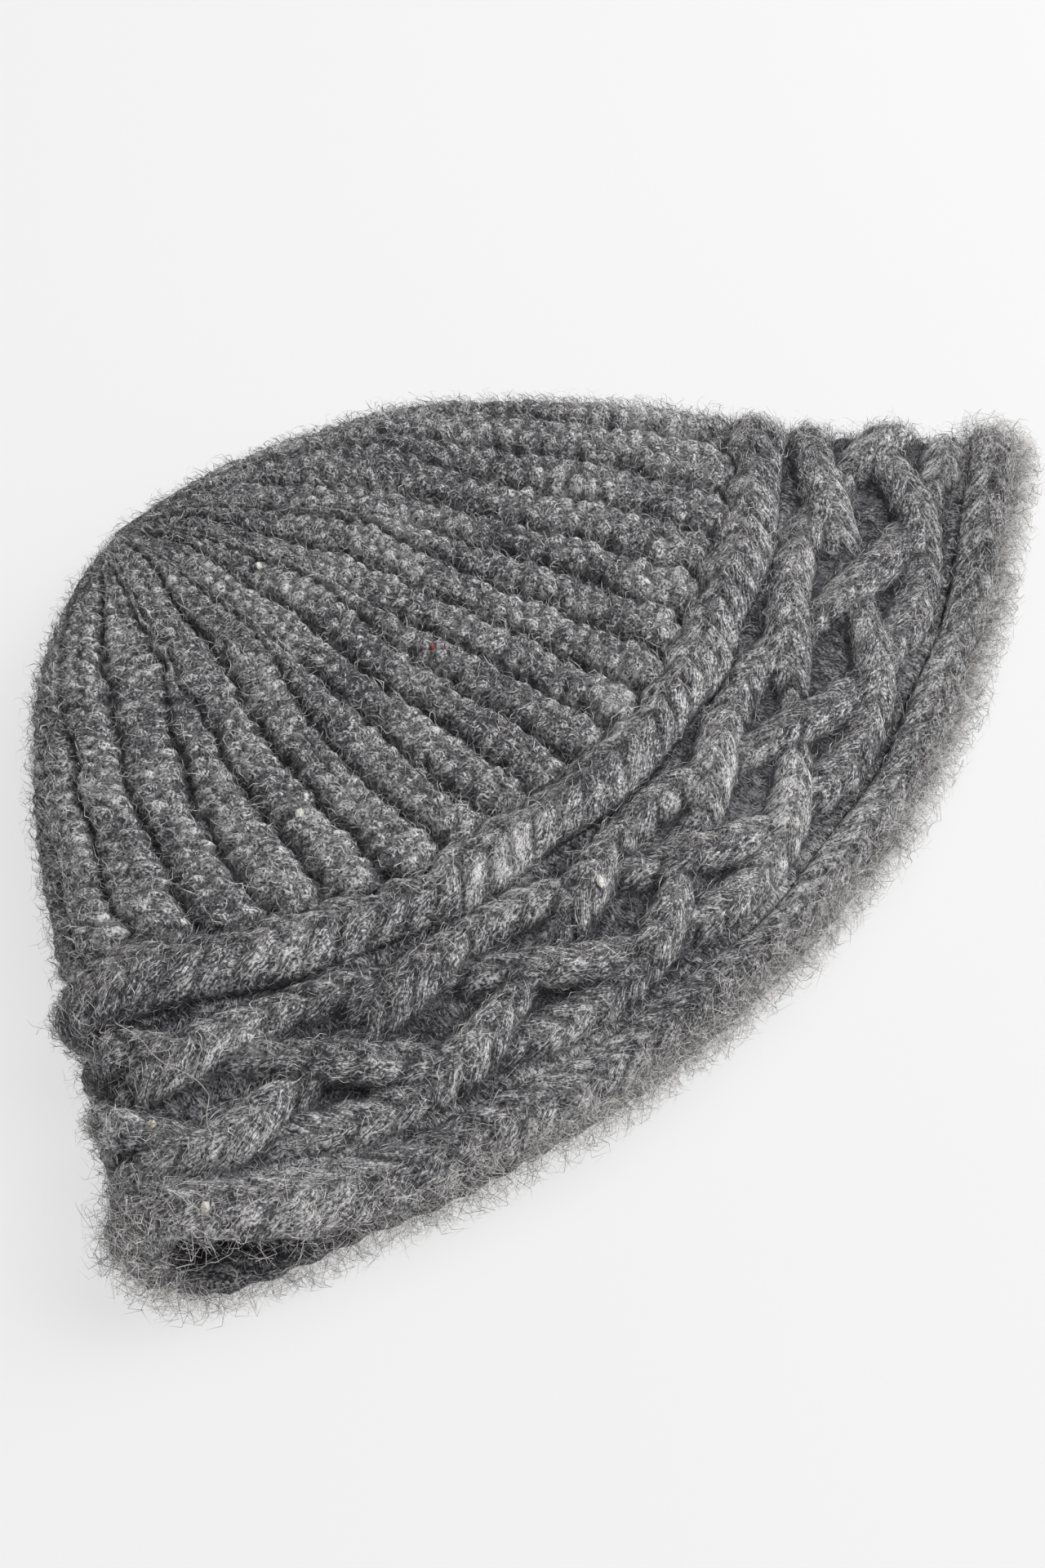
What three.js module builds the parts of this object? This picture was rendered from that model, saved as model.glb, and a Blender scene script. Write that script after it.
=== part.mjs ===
// A chunky hand-knit beanie with a cloche shape, lying flattened on its side.
// Millimetres. X runs across the hat, Y from the rim to the point of the crown, Z up from the surface below.
import * as THREE from "three";

// Counts of the knitting
const RIDGES = 39; // garter ridges round the crown
const RIDGES_PER_WEDGE = 3; // one full ridge and two short-row ridges
const PLAIT_REPEATS = 13; // repeats of the four-strand plait round the band
const PLAIT_STRANDS = 4;

// Zones of the fabric, measured along the middle of the upper side from the rim to the point
const RIM_END = 7.6;
const BAND_END = 41;
const BORDER_END = 52;
const POINT = 168;
const GAP = 0.3; // between one knitted piece and the next

// Thickness of the knitted wall, from the tops of its stitches to its inside face
const CROWN_WALL = 7.2;
const BORDER_WALL = 7.6;
const BAND_WALL = 7.6;
const RIM_WALL = 4.8;

// Relief of the stitches, measured down from their tops
const RIDGE_DEPTH = 3;
const ROPE_DEPTH = 5;
const ROPE_LIFT = 1.5; // how far a strand rises where it goes over and sinks where it goes under
const ROPE_WIDTH = 9;
const ROPE_SWING = 12.4; // of a strand's middle to each side of the band's
const BORDER_DEPTH = 3.5;
const RIM_GROOVE = 1.6;
const RIM_ROUNDING = 1.8; // of the outer round at the rim's edge

// Where the patterns start, counted from the left fold
const RIDGE_SHIFT = -1.3; // in ridges
const PLAIT_SHIFT = 0.265; // in repeats

// Short rows: how far the ridges of a wedge reach, as a share of the way from the border to the point
const RIDGE_REACH = [1, 0.8, 0.47];
const RIDGE_FADE = 0.16;
const RIDGE_LEAST = 0.1; // share of its width that a short ridge keeps beyond its end
const GATHER = 12; // length at the point where the valleys close

// How the hat lies, a row for each section from the rim to the point. left and right are the folds and mid is
// the middle of the upper side. height is the thickness at the folds, middle the height of its middle above the
// surface below, and dome how much higher the upper side is between the folds.
const ORIGIN = { x: 0.73, y: 88.23 };
const LIE_COLUMNS = [
  "reach", "leftX", "leftY", "midX", "midY", "rightX", "rightY", "height", "middle", "dome",
];
const LIE = [
  [0, -124.5, 46.3, -3, 4, 126.5, 43.5, 21, 10.5, 0],
  [7.6, -122.3, 58.3, -3, 12, 122, 53, 21.5, 10.8, 0],
  [41, -103.5, 88.5, -4, 45, 100, 85, 23, 11, 1.5],
  [52, -95.5, 99, -4.5, 56, 94, 95, 23, 11, 2],
  [82, -80, 121.5, -5.5, 86, 74.5, 122.5, 22.5, 11, 2.5],
  [110, -62, 143, -6.5, 114, 51, 148.5, 22, 11, 2],
  [128, -49, 155, -7.5, 132, 33.5, 159.5, 21, 10.5, 1.5],
  [145, -34, 164, -9, 149, 15, 167, 19, 10, 1],
  [156.5, -23.5, 168.5, -11, 160.5, 2, 170, 15, 9.5, 0.5],
  [168, -12.2, 172.5, -12, 172.5, -11.8, 172.5, 0.4, 9, 0],
];

// The upper side sinks onto the lower one between the corners of the rim
const SINK = 6.5;
const SINK_REACH = 24; // where the sinking starts, measured from the rim
const SINK_EDGE = 0.95; // across, as a share of half the width
const SINK_FULL = 0.62;

// At the left fold the upper side draws back and the mouth shows. Elsewhere the lower side is tucked in under it.
const DRAW_BACK = 6;
const TUCK = 2.6;
const SLIP_REACH = 30; // where both start, measured from the rim

// Points of the faceted surfaces
const INSIDE_COLUMNS = 72;
const COLUMNS_PER_RIDGE = 3;
const LATTICE = 8; // columns of the plait's lattice in one repeat, and rows in a quarter turn of a strand

const WOOL = 0x737273;

// A smooth step from 0 at one value to 1 at another.
function ease(from, to, value) {
  return THREE.MathUtils.smoothstep((value - from) / (to - from), 0, 1);
}

// Values at even steps from one to another, both included.
function steps(from, to, count) {
  return Array.from({ length: count + 1 }, (_, i) => from + ((to - from) * i) / count);
}

// The lie of the section at a reach, read from the rows of LIE along smooth curves.
function lieAt(reach) {
  const last = LIE.length - 1;
  let i = 0;
  while (i < last - 1 && reach > LIE[i + 1][0]) i += 1;
  const rows = [LIE[Math.max(i - 1, 0)], LIE[i], LIE[i + 1], LIE[Math.min(i + 2, last)]];
  const span = rows[2][0] - rows[1][0];
  const t = (reach - rows[1][0]) / span;
  const values = LIE_COLUMNS.map((name, column) => {
    const [before, start, end, after] = rows.map((row) => row[column]);
    const startSlope = ((end - before) / (rows[2][0] - rows[0][0])) * span;
    const endSlope = ((after - start) / (rows[3][0] - rows[1][0])) * span;
    const a = 2 * start - 2 * end + startSlope + endSlope;
    const b = 3 * end - 3 * start - 2 * startSlope - endSlope;
    return [name, ((a * t + b) * t + startSlope) * t + start];
  });
  return Object.fromEntries(values);
}

// The loop of a section as a flattened ring: across it from -1 to 1, and up from its middle in millimetres.
// turn goes once round, from the left fold over the upper side to the right fold and back underneath.
function loopAt(lie, turn) {
  const halfWidth = Math.hypot(lie.rightX - lie.leftX, lie.rightY - lie.leftY) / 2;
  const radius = Math.min(lie.height / 2, 0.9 * halfWidth);
  const straight = 2 * (halfWidth - radius);
  const corner = (Math.PI / 2) * radius;
  const whole = turn - Math.floor(turn);
  const side = whole < 0.5 ? 1 : -1;
  const share = whole < 0.5 ? 2 * whole : 2 - 2 * whole;
  const length = share * (straight + 2 * corner);
  const past = Math.abs(length - corner - straight / 2) - straight / 2;
  if (past <= 0) return { across: (length - corner - straight / 2) / halfWidth, up: side * radius };
  const fold = share < 0.5 ? -1 : 1;
  const angle = past / radius;
  return {
    across: (fold * (straight / 2 + radius * Math.sin(angle))) / halfWidth,
    up: side * radius * Math.cos(angle),
  };
}

// A point on the smooth skin that the tops of the stitches touch.
function skin(turn, reach) {
  const lie = lieAt(reach);
  const { across, up } = loopAt(lie, turn);
  const alongX = (lie.rightX - lie.leftX) / 2;
  const alongY = (lie.rightY - lie.leftY) / 2;
  const bowX = (lie.rightX + lie.leftX) / 2 - lie.midX;
  const bowY = (lie.rightY + lie.leftY) / 2 - lie.midY;
  const sunk = SINK * ease(SINK_REACH, 0, reach) * ease(SINK_EDGE, SINK_FULL, Math.abs(across));
  const upperSide = Math.max(up, 0) / (lie.height / 2);
  const lowerSide = Math.max(-up, 0) / (lie.height / 2);
  const drawn = DRAW_BACK * upperSide * ease(-0.8, -0.96, across);
  const tucked = TUCK * lowerSide * ease(-0.98, -0.7, across) * ease(0.98, 0.7, across);
  const slip = (drawn + tucked) * ease(SLIP_REACH, 0, reach);
  return new THREE.Vector3(
    lie.midX + alongX * across + bowX * across * across - ORIGIN.x,
    lie.midY + alongY * across + bowY * across * across + slip - ORIGIN.y,
    lie.middle + up + upperSide * (lie.dome * (1 - across * across) - sunk),
  );
}

// The way out of the skin at a point.
function outward(turn, reach) {
  const turnStep = 0.001;
  const reachStep = 0.2;
  const ahead = Math.min(reach + reachStep, POINT);
  const round = skin(turn + turnStep, reach).sub(skin(turn - turnStep, reach));
  const along = skin(turn, ahead).sub(skin(turn, ahead - 2 * reachStep));
  return round.cross(along).normalize();
}

// A point of the fabric, depth millimetres under the skin, pressed flat where the hat rests.
function fabric(turn, reach, depth) {
  const point = skin(turn, reach).addScaledVector(outward(turn, reach), -depth);
  point.z = Math.max(point.z, 0);
  return { turn, point };
}

// A closed ring of inside points at one reach.
function insideRing(reach, wall) {
  return steps(0, 1, INSIDE_COLUMNS)
    .slice(0, -1)
    .map((turn) => fabric(turn, reach, wall));
}

// Triangles between two rings, which may have different numbers of points. On the outside the first ring is the
// one nearer the rim. leansBack tells whether the square at an index is cut along its falling diagonal.
function joinRings(triangles, first, second, leansBack = () => true) {
  const turnOf = (ring, index) => ring[index % ring.length].turn + Math.floor(index / ring.length);
  let i = 0;
  let j = 0;
  while (i < first.length || j < second.length) {
    const a = first[i % first.length].point;
    const b = second[j % second.length].point;
    const ahead = turnOf(first, i + 1) - turnOf(second, j + 1);
    const square = i === j && Math.abs(ahead) < 1e-9;
    const moveFirst = j >= second.length || (i < first.length && (square ? leansBack(i) : ahead <= 0));
    if (moveFirst) {
      i += 1;
      triangles.push(a, first[i % first.length].point, b);
    } else {
      j += 1;
      triangles.push(a, second[j % second.length].point, b);
    }
  }
}

// Triangles from a ring to the point that closes it.
function closeRing(triangles, ring, tip, facesOut) {
  ring.forEach(({ point }, i) => {
    const next = ring[(i + 1) % ring.length].point;
    triangles.push(...(facesOut ? [point, next, tip] : [next, point, tip]));
  });
}

function knitMesh(name, triangles) {
  const geometry = new THREE.BufferGeometry().setFromPoints(triangles);
  geometry.computeVertexNormals();
  const material = new THREE.MeshStandardMaterial({ color: WOOL, roughness: 0.95, metalness: 0 });
  const mesh = new THREE.Mesh(geometry, material);
  mesh.name = name;
  return mesh;
}

// A band of fabric that runs round the hat: its outside rings, then its inside back to the rim side.
function knitBand(name, outside, insideReaches, wall, leansBack) {
  const triangles = [];
  outside.slice(1).forEach((ring, row) => {
    joinRings(triangles, outside[row], ring, leansBack ? (column) => leansBack(column, row) : undefined);
  });
  const back = [outside.at(-1), ...insideReaches.map((reach) => insideRing(reach, wall)), outside[0]];
  back.slice(1).forEach((ring, row) => joinRings(triangles, back[row], ring));
  return knitMesh(name, triangles);
}

// The widths of the ridges of one wedge at a reach. The short-row ridges are almost nothing past their ends.
function ridgeWidths(reach) {
  const share = (reach - BORDER_END) / (POINT - BORDER_END);
  return RIDGE_REACH.map((end) => {
    const width = end < 1 ? ease(end + RIDGE_FADE, end - RIDGE_FADE, share) : 1;
    return Math.max(width, RIDGE_LEAST);
  });
}

// A ring of points round the outside of the crown. Its columns follow the ridges and the valleys between them.
function crownRing(reach) {
  const widths = ridgeWidths(reach);
  const total = widths.reduce((sum, width) => sum + width, 0);
  const open = ease(POINT, POINT - GATHER, reach);
  const ring = [];
  let turn = RIDGE_SHIFT / RIDGES;
  for (let ridge = 0; ridge < RIDGES; ridge += 1) {
    const place = ridge % RIDGES_PER_WEDGE;
    const width = (widths[place] / total) * (RIDGES_PER_WEDGE / RIDGES);
    const beside = widths[(place + RIDGES_PER_WEDGE - 1) % RIDGES_PER_WEDGE];
    const valley = RIDGE_DEPTH * open * Math.min(widths[place], beside);
    for (let column = 0; column < COLUMNS_PER_RIDGE; column += 1) {
      ring.push(fabric(turn + (width * column) / COLUMNS_PER_RIDGE, reach, column === 0 ? valley : 0));
    }
    turn += width;
  }
  return ring;
}

// The crown: ridged outside, plain inside, closed at the point.
function makeCrown() {
  const start = BORDER_END + GAP / 2;
  const outer = [...steps(start, POINT - 6, 11), POINT - 2].map(crownRing);
  const inner = steps(start, POINT - 18, 6).map((reach) => insideRing(reach, CROWN_WALL));
  const innerTip = skin(0.25, POINT - 14);
  innerTip.z = lieAt(POINT).middle;
  const triangles = [];
  joinRings(triangles, inner[0], outer[0]);
  outer.slice(1).forEach((ring, i) => joinRings(triangles, outer[i], ring));
  closeRing(triangles, outer.at(-1), skin(0.25, POINT), true);
  inner.slice(1).forEach((ring, i) => joinRings(triangles, ring, inner[i]));
  closeRing(triangles, inner.at(-1), innerTip, false);
  return knitMesh("crown", triangles);
}

// The rope that borders the crown, round across.
function makeBorderRope() {
  const start = BAND_END + GAP / 2;
  const end = BORDER_END - GAP / 2;
  const outside = steps(-1, 1, 6).map((across) => {
    const reach = start + ((across + 1) / 2) * (end - start);
    const turns = steps(0, 1, INSIDE_COLUMNS).slice(0, -1);
    return turns.map((turn) => fabric(turn, reach, BORDER_DEPTH * across ** 2));
  });
  return knitBand("border_rope", outside, steps(end, start, 1), BORDER_WALL);
}

// The columns of the plait's lattice, as repeats counted round the hat from the left fold.
function plaitRepeats() {
  const first = Math.round(PLAIT_SHIFT * LATTICE) / LATTICE;
  return steps(first, first + PLAIT_REPEATS, PLAIT_REPEATS * LATTICE).slice(0, -1);
}

function turnOfRepeat(repeat) {
  return (repeat - PLAIT_SHIFT) / PLAIT_REPEATS;
}

// The depth of the band under its skin at a place on the plait: the strands over the ground between them.
function plaitDepth(repeat, reach) {
  const fromMiddle = reach - (RIM_END + BAND_END) / 2;
  let depth = ROPE_DEPTH;
  for (let strand = 0; strand < PLAIT_STRANDS; strand += 1) {
    const phase = (Math.PI / 2) * (repeat - 0.5 - strand);
    const slope = (Math.PI / 2) * ROPE_SWING * Math.cos(phase) * (PLAIT_REPEATS / (4 * lieAt(reach).rightX));
    const across = (fromMiddle - ROPE_SWING * Math.sin(phase)) / Math.hypot(1, slope) / (ROPE_WIDTH / 2);
    if (Math.abs(across) >= 1) continue;
    const over = Math.cos(2 * Math.PI * repeat) * Math.cos(phase);
    depth = Math.min(depth, ROPE_LIFT * (1 - over) + ROPE_DEPTH * (1 - Math.sqrt(1 - across ** 2)));
  }
  return depth;
}

// The cable band. The rows and columns of its lattice are set so that the diagonals run along the strands.
function makeCableBand() {
  const start = RIM_END + GAP / 2;
  const end = BAND_END - GAP / 2;
  const middle = (start + end) / 2;
  const lattice = steps(-LATTICE + 2, LATTICE - 2, 2 * LATTICE - 4);
  const reaches = [
    ...steps(start, middle - ROPE_SWING, 2),
    ...lattice.map((row) => middle + ROPE_SWING * Math.sin((Math.PI / 2) * (row / LATTICE))),
    ...steps(middle + ROPE_SWING, end, 2),
  ];
  const repeats = plaitRepeats();
  const outside = reaches.map((reach) =>
    repeats.map((repeat) => fabric(turnOfRepeat(repeat), reach, plaitDepth(repeat, reach))),
  );
  const depthAt = (column, row) => plaitDepth(repeats[0] + column / LATTICE, reaches[row]);
  const leansBack = (column, row) =>
    depthAt(column, row) + depthAt(column + 1, row + 1) > depthAt(column + 1, row) + depthAt(column, row + 1);
  return knitBand("cable_band", outside, steps(end, start, 3), BAND_WALL, leansBack);
}

// The rim: one column of stitches, whose legs make two rounds with a groove between them.
function makeRim() {
  const end = RIM_END - GAP / 2;
  const turns = plaitRepeats().map(turnOfRepeat);
  const outside = steps(0, 2, 6).map((column) => {
    const across = 2 * (column - Math.min(Math.floor(column), 1)) - 1;
    const reach = (end * column) / 2;
    const depth = RIM_GROOVE * Math.abs(across) ** 3 + RIM_ROUNDING * ease(0.5, 0, column);
    return turns.map((turn) => fabric(turn, reach, depth));
  });
  return knitBand("rim", outside, steps(end - GAP, 0, 2), RIM_WALL);
}

const beanie = new THREE.Group();
beanie.add(makeCrown(), makeBorderRope(), makeCableBand(), makeRim());

export default beanie;
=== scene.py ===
"""A chunky hand-knit beanie with a plaited band, lying flattened on its side on a pale floor.

The knitting is worked out in millimetres on the skin of the lying hat. A place on it is a turn, which goes
once round from the left fold over the upper side, and a reach from the rim to the point of the crown.
"""

import math

import bmesh
import bpy
import numpy as np
from bpy.props import FloatProperty, FloatVectorProperty, IntProperty, PointerProperty
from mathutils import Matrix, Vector


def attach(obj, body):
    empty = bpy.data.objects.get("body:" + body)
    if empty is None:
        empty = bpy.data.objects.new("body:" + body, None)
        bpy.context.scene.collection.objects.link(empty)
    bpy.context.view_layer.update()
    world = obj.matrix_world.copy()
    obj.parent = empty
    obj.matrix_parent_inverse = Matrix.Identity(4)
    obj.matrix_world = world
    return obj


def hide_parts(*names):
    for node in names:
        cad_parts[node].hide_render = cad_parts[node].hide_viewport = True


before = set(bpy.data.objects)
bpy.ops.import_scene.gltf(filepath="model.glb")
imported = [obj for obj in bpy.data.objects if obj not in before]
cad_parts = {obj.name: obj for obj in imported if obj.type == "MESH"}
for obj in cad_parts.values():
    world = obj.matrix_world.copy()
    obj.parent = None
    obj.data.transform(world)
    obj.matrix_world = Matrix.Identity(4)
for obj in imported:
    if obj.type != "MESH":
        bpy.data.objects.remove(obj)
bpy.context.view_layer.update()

bl_info = {
    "name": "Knitted beanie",
    "version": (1, 0, 0),
    "blender": (4, 5, 0),
    "location": "View3D > Sidebar > Beanie",
    "description": "Builds a chunky hand-knit beanie with a plaited cable band",
    "category": "Object",
}

MM = 0.001
FLOOR_GAP = 0.0002  # metres that every hair stays above the floor
BODY = "root"

# The stage, in metres
STAGE_FLAT = 2.6  # to where the floor starts to curve up into the backdrop
STAGE_RISE = 1.2
FLOOR_CORNERS = 72
FLOOR_RINGS = 13
FLOOR_ROUGHNESS = 0.9
SKY_COLOUR = (0.98, 0.985, 1.0, 1.0)
SKY_STRENGTH = 0.21
LAMPS = (  # pointing at the origin: name, place, width and power
    ("overhead", (0.5, -0.1, 0.85), 0.8, 3.8),
    ("side", (0.95, -0.8, 0.75), 1.4, 16.5),
)

# The camera: where it stands and what it looks at, in millimetres before ORIGIN is taken off, and its frame
CAMERA_EYE = (-202.88, -95.60, 334.36)
CAMERA_TARGET = (-8.73, 66.05, 11.0)
FRAME_WIDTH = 36.0
NEAREST = 0.01

# Counts of the knitting
RIDGES = 39
RIDGES_PER_WEDGE = 3
WEDGES = RIDGES // RIDGES_PER_WEDGE
PLAIT_REPEATS = 13
PLAIT_STRANDS = 4
ROWS = 78  # rows of stitches round the hat

# Zones from the rim to the point
RIM_END = 7.6
BAND_END = 41.0
BORDER_END = 52.0
POINT = 168.0
SEAM = 0.03  # half of the gap between one piece and the next

# Where the ridges and the plait start, in ridges and repeats
RIDGE_SHIFT = -1.3
PLAIT_SHIFT = 0.265

# How the wedges of short rows narrow towards the point, in shares of the way to it and of a ridge's width
RIDGE_REACH = (1.0, 0.8, 0.47)
RIDGE_FADE = 0.16
RIDGE_LEAST = 0.1
GATHER = 14.0  # length at the point where the valleys close

# Lower edge of each piece: reach, number of waves, their shift and push, and seed, cells and push of noise
EDGES = {
    "rim": (-0.4, ROWS, 0.0, 0.3, 74, ROWS // 2, 0.4),
    "band": (RIM_END, PLAIT_REPEATS, PLAIT_SHIFT, 0.4, 72, ROWS // 3, 0.4),
    "border": (BAND_END, PLAIT_REPEATS, PLAIT_SHIFT, 0.7, 73, ROWS // 2, 0.7),
    "crown": (BORDER_END, RIDGES, -RIDGE_SHIFT, 0.8, 71, RIDGES, 1.2),
}

ORIGIN = (0.73, 88.23)  # taken off every place in LIE

# How the hat lies: reach, left fold x and y, middle x and y, right fold x and y, height, middle height, dome
LIE = np.array([
    (0, -124.5, 46.3, -3, 4, 126.5, 43.5, 21, 10.5, 0),
    (7.6, -122.3, 58.3, -3, 12, 122, 53, 21.5, 10.8, 0),
    (41, -103.5, 88.5, -4, 45, 100, 85, 23, 11, 1.5),
    (52, -95.5, 99, -4.5, 56, 94, 95, 23, 11, 2),
    (82, -80, 121.5, -5.5, 86, 74.5, 122.5, 22.5, 11, 2.5),
    (110, -62, 143, -6.5, 114, 51, 148.5, 22, 11, 2),
    (128, -49, 155, -7.5, 132, 33.5, 159.5, 21, 10.5, 1.5),
    (145, -34, 164, -9, 149, 15, 167, 19, 10, 1),
    (156.5, -23.5, 168.5, -11, 160.5, 2, 170, 15, 9.5, 0.5),
    (168, -12.2, 172.5, -12, 172.5, -11.8, 172.5, 0.4, 9, 0),
])
FOLD_SHARE = 0.9  # of half the width, the most that a fold's radius takes

# How far the upper side sinks at the rim. Pairs go from none to full, in shares of half the width.
SINK = 6.5
SINK_REACH = 24.0
SINK_ACROSS = (0.95, 0.62)

# At the left fold the upper side draws back and the mouth shows. Elsewhere the lower side is tucked under it.
DRAW_BACK = 6.0
DRAW_ACROSS = (-0.8, -0.96)
TUCK = 2.6
TUCK_LEFT = (-0.98, -0.7)
TUCK_RIGHT = (0.98, 0.7)
SLIP_REACH = 30.0

# Thickness of the knitted wall, from the skin to the inside
CROWN_WALL = 7.0
BORDER_WALL = 7.4
BAND_WALL = 7.4
RIM_WALL = 4.6

# Points round each piece on its upper and lower side, and rings on its outside and inside
CROWN_GRID = (430, 100, 130, 9)
BORDER_GRID = (470, 120, 25, 3)
BAND_GRID = (500, 120, 70, 6)
RIM_GRID = (500, 160, 20, 6)
TIP = 1.2  # from the crown's last full ring to the point
INNER_TIP = 22.0  # the same on the inside
CROWN_LAST_SHARE = 1.006  # of the way to the last full ring, where one more ring closes in

# How a strand of the plait runs from side to side, and how its leaning parts differ from a plain wave
PLAIT_SWING = 12.4
PLAIT_LEAN = 1.75
PLAIT_OFFSET = -0.25
LEAST_RELIEF = 0.4  # that the ground may lie under the strands' own depth
BORDER_UPPER_DEPTH = 2.6  # of the border's valley on the crown's side
RIM_UPPER_DEPTH = 1.4  # of the rim's on the band's side

# Hairs of each kind: seed, curl, rings of points, and radius as a share of the length
HAIR_SHAPES = {"nap": (100, 0.18, 1, 0.02), "haze": (300, 0.38, 2, 0.0075), "halo": (200, 0.2, 4, 0.004)}
HAIR_KINDS = 9

# Hairs on the pieces: weight, seed, shortest length, least and greatest lift off the knitting, and for each
# piece the density as a share of the nap density, the longest length and the stray from the yarn.
PIECES = ("crown", "border", "band", "rim")
STREWN = {
    "nap": ("nap", 0, 0.0015, 0.02, 0.45, (
        (0.8, 0.004, 1.5), (1.5, 0.004, 0.9), (1.4, 0.004, 0.9), (1.3, 0.004, 1.2))),
    "haze": ("fray", 200, 0.0015, 0.3, 1.4, (
        (0.5, 0.004, math.pi), (0.5, 0.004, math.pi), (0.5, 0.0045, math.pi), (2.3, 0.006, math.pi))),
    "halo": ("fray", 100, 0.003, 0.1, 0.8, (
        (0.03, 0.0075, math.pi), (0.03, 0.0075, math.pi), (0.03, 0.0075, math.pi), (0.05, 0.0075, math.pi))),
}

PAINTED_SHADE_COLOUR = (0.115, 0.12, 0.145, 1.0)  # painted shade: the colour that the wool is multiplied by down in the knitting, where shade falls

# Neps on the knitting: turn, reach, length, width and tint, from 0 reddish to 1 white
NEPS = (
    (0.2567, 130.7, 1.8, 1.3, 0.9),
    (0.1325, 72.4, 1.9, 1.4, 0.95),
    (0.2077, 29.4, 2.4, 1.4, 0.85),
    (0.0371, 19.4, 2.0, 1.5, 0.6),
    (0.0369, 2.4, 2.0, 1.5, 0.75),
    (0.2608, 89.1, 1.6, 1.0, 0.05),
)
NEP_SLANT = 0.9  # angle to the way round the hat
NEP_LIFT = 0.15  # as a share of the width
NEP_ROUGHNESS = (0.7, 1.2)  # least and greatest share of the size at a corner

# Long pale hairs that lie over the band, each a row of turns and reaches
STRAY_HAIRS = (
    (
        (0.0327, 38.7), (0.0361, 36.6), (0.0388, 34.2), (0.0403, 31.4), (0.0435, 28.5), (0.0459, 27.4),
        (0.0496, 24.9), (0.0513, 22.0), (0.0508, 20.6), (0.0491, 18.6), (0.0479, 16.1), (0.0481, 14.5),
    ),
    ((0.0724, 31.3), (0.0741, 30.0), (0.0739, 28.5), (0.0729, 26.9)),
    ((0.2065, 33.4), (0.207, 32.0), (0.2065, 30.6), (0.2065, 29.9)),
)
STRAY_RADIUS = 0.07
STRAY_LIFT = 0.5
STRAY_TINT = 0.8


def ease(start, end, value):
    """A smooth step from 0 at start to 1 at end."""
    t = np.clip((value - start) / (end - start), 0, 1)
    return t * t * (3 - 2 * t)


def lattice_noise(seed, a, b, period):
    """Smooth noise from -1 to 1 on a grid of unit cells, which repeats along a after period cells."""
    table = np.random.default_rng(seed).uniform(-1, 1, (period, 256))
    i, j = np.floor(a).astype(int), np.floor(b).astype(int)
    u, v = a - i, b - j
    u, v = u * u * (3 - 2 * u), v * v * (3 - 2 * v)
    i0, i1, j0, j1 = i % period, (i + 1) % period, j % 256, (j + 1) % 256
    near = table[i0, j0] * (1 - u) + table[i1, j0] * u
    far = table[i0, j1] * (1 - u) + table[i1, j1] * u
    return near * (1 - v) + far * v


def noise(seed, cells, length, turn, reach):
    """Smooth noise on the hat, with some cells round it, each of a length along the reach."""
    return lattice_noise(seed, cells * turn, reach / length, cells)


def noise_round(seed, cells, turn):
    """Smooth noise that changes only round the hat."""
    return lattice_noise(seed, cells * turn, 0 * turn, cells)


def lie_at(reach):
    """The lie of the hat's section at each reach, along smooth curves through the rows of LIE."""
    known = LIE[:, 0]
    last = len(known) - 1
    i = np.clip(np.searchsorted(known, reach, side="left") - 1, 0, last - 1)
    before, after = np.maximum(i - 1, 0), np.minimum(i + 2, last)
    span = (known[i + 1] - known[i])[..., None]
    t = (reach[..., None] - known[i][..., None]) / span
    start, end = LIE[i], LIE[i + 1]
    start_slope = (end - LIE[before]) / (known[i + 1] - known[before])[..., None] * span
    end_slope = (LIE[after] - start) / (known[after] - known[i])[..., None] * span
    a = 2 * start - 2 * end + start_slope + end_slope
    b = 3 * end - 3 * start - 2 * start_slope - end_slope
    return ((a * t + b) * t + start_slope) * t + start


def section(lie):
    """Half of the width from fold to fold, and the radius of the folds."""
    wide = np.linalg.norm(lie[..., 5:7] - lie[..., 1:3], axis=-1) / 2
    return wide, np.minimum(lie[..., 7] / 2, FOLD_SHARE * wide)


def girth(reach):
    """Length round the hat at a reach."""
    wide, radius = section(lie_at(reach))
    return 4 * (wide - radius) + 2 * math.pi * radius


def skin(turn, reach):
    """Points on the smooth skin that the tops of the stitches touch."""
    turn, reach = np.broadcast_arrays(np.asarray(turn, float), np.asarray(reach, float))
    lie = lie_at(reach)
    wide, radius = section(lie)
    straight = 2 * (wide - radius)
    whole = turn - np.floor(turn)
    side = np.where(whole < 0.5, 1.0, -1.0)
    share = np.where(whole < 0.5, 2 * whole, 2 - 2 * whole)
    middle = share * (straight + math.pi * radius) - math.pi / 2 * radius - straight / 2
    past = np.abs(middle) - straight / 2
    angle = np.clip(past / radius, 0, math.pi / 2)
    on_fold = past > 0
    fold = np.where(share < 0.5, -1.0, 1.0)
    across = np.where(on_fold, fold * (straight / 2 + radius * np.sin(angle)), middle) / wide
    up = side * np.where(on_fold, radius * np.cos(angle), radius)
    sunk = SINK * ease(SINK_REACH, 0, reach) * ease(*SINK_ACROSS, np.abs(across))
    upper = np.maximum(up, 0) / (lie[..., 7] / 2)
    lower = np.maximum(-up, 0) / (lie[..., 7] / 2)
    drawn = DRAW_BACK * upper * ease(*DRAW_ACROSS, across)
    tucked = TUCK * lower * ease(*TUCK_LEFT, across) * ease(*TUCK_RIGHT, across)
    slip = (drawn + tucked) * ease(SLIP_REACH, 0, reach)
    left, centre, right = lie[..., 1:3], lie[..., 3:5], lie[..., 5:7]
    share = across[..., None]
    place = centre + (right - left) / 2 * share + ((right + left) / 2 - centre) * share**2 - ORIGIN
    height = lie[..., 8] + up + upper * (lie[..., 9] * (1 - across**2) - sunk)
    return np.stack([place[..., 0], place[..., 1] + slip, height], -1)


def unit(vectors):
    """The vectors at length 1."""
    return vectors / np.maximum(np.linalg.norm(vectors, axis=-1, keepdims=True), 1e-9)


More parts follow.
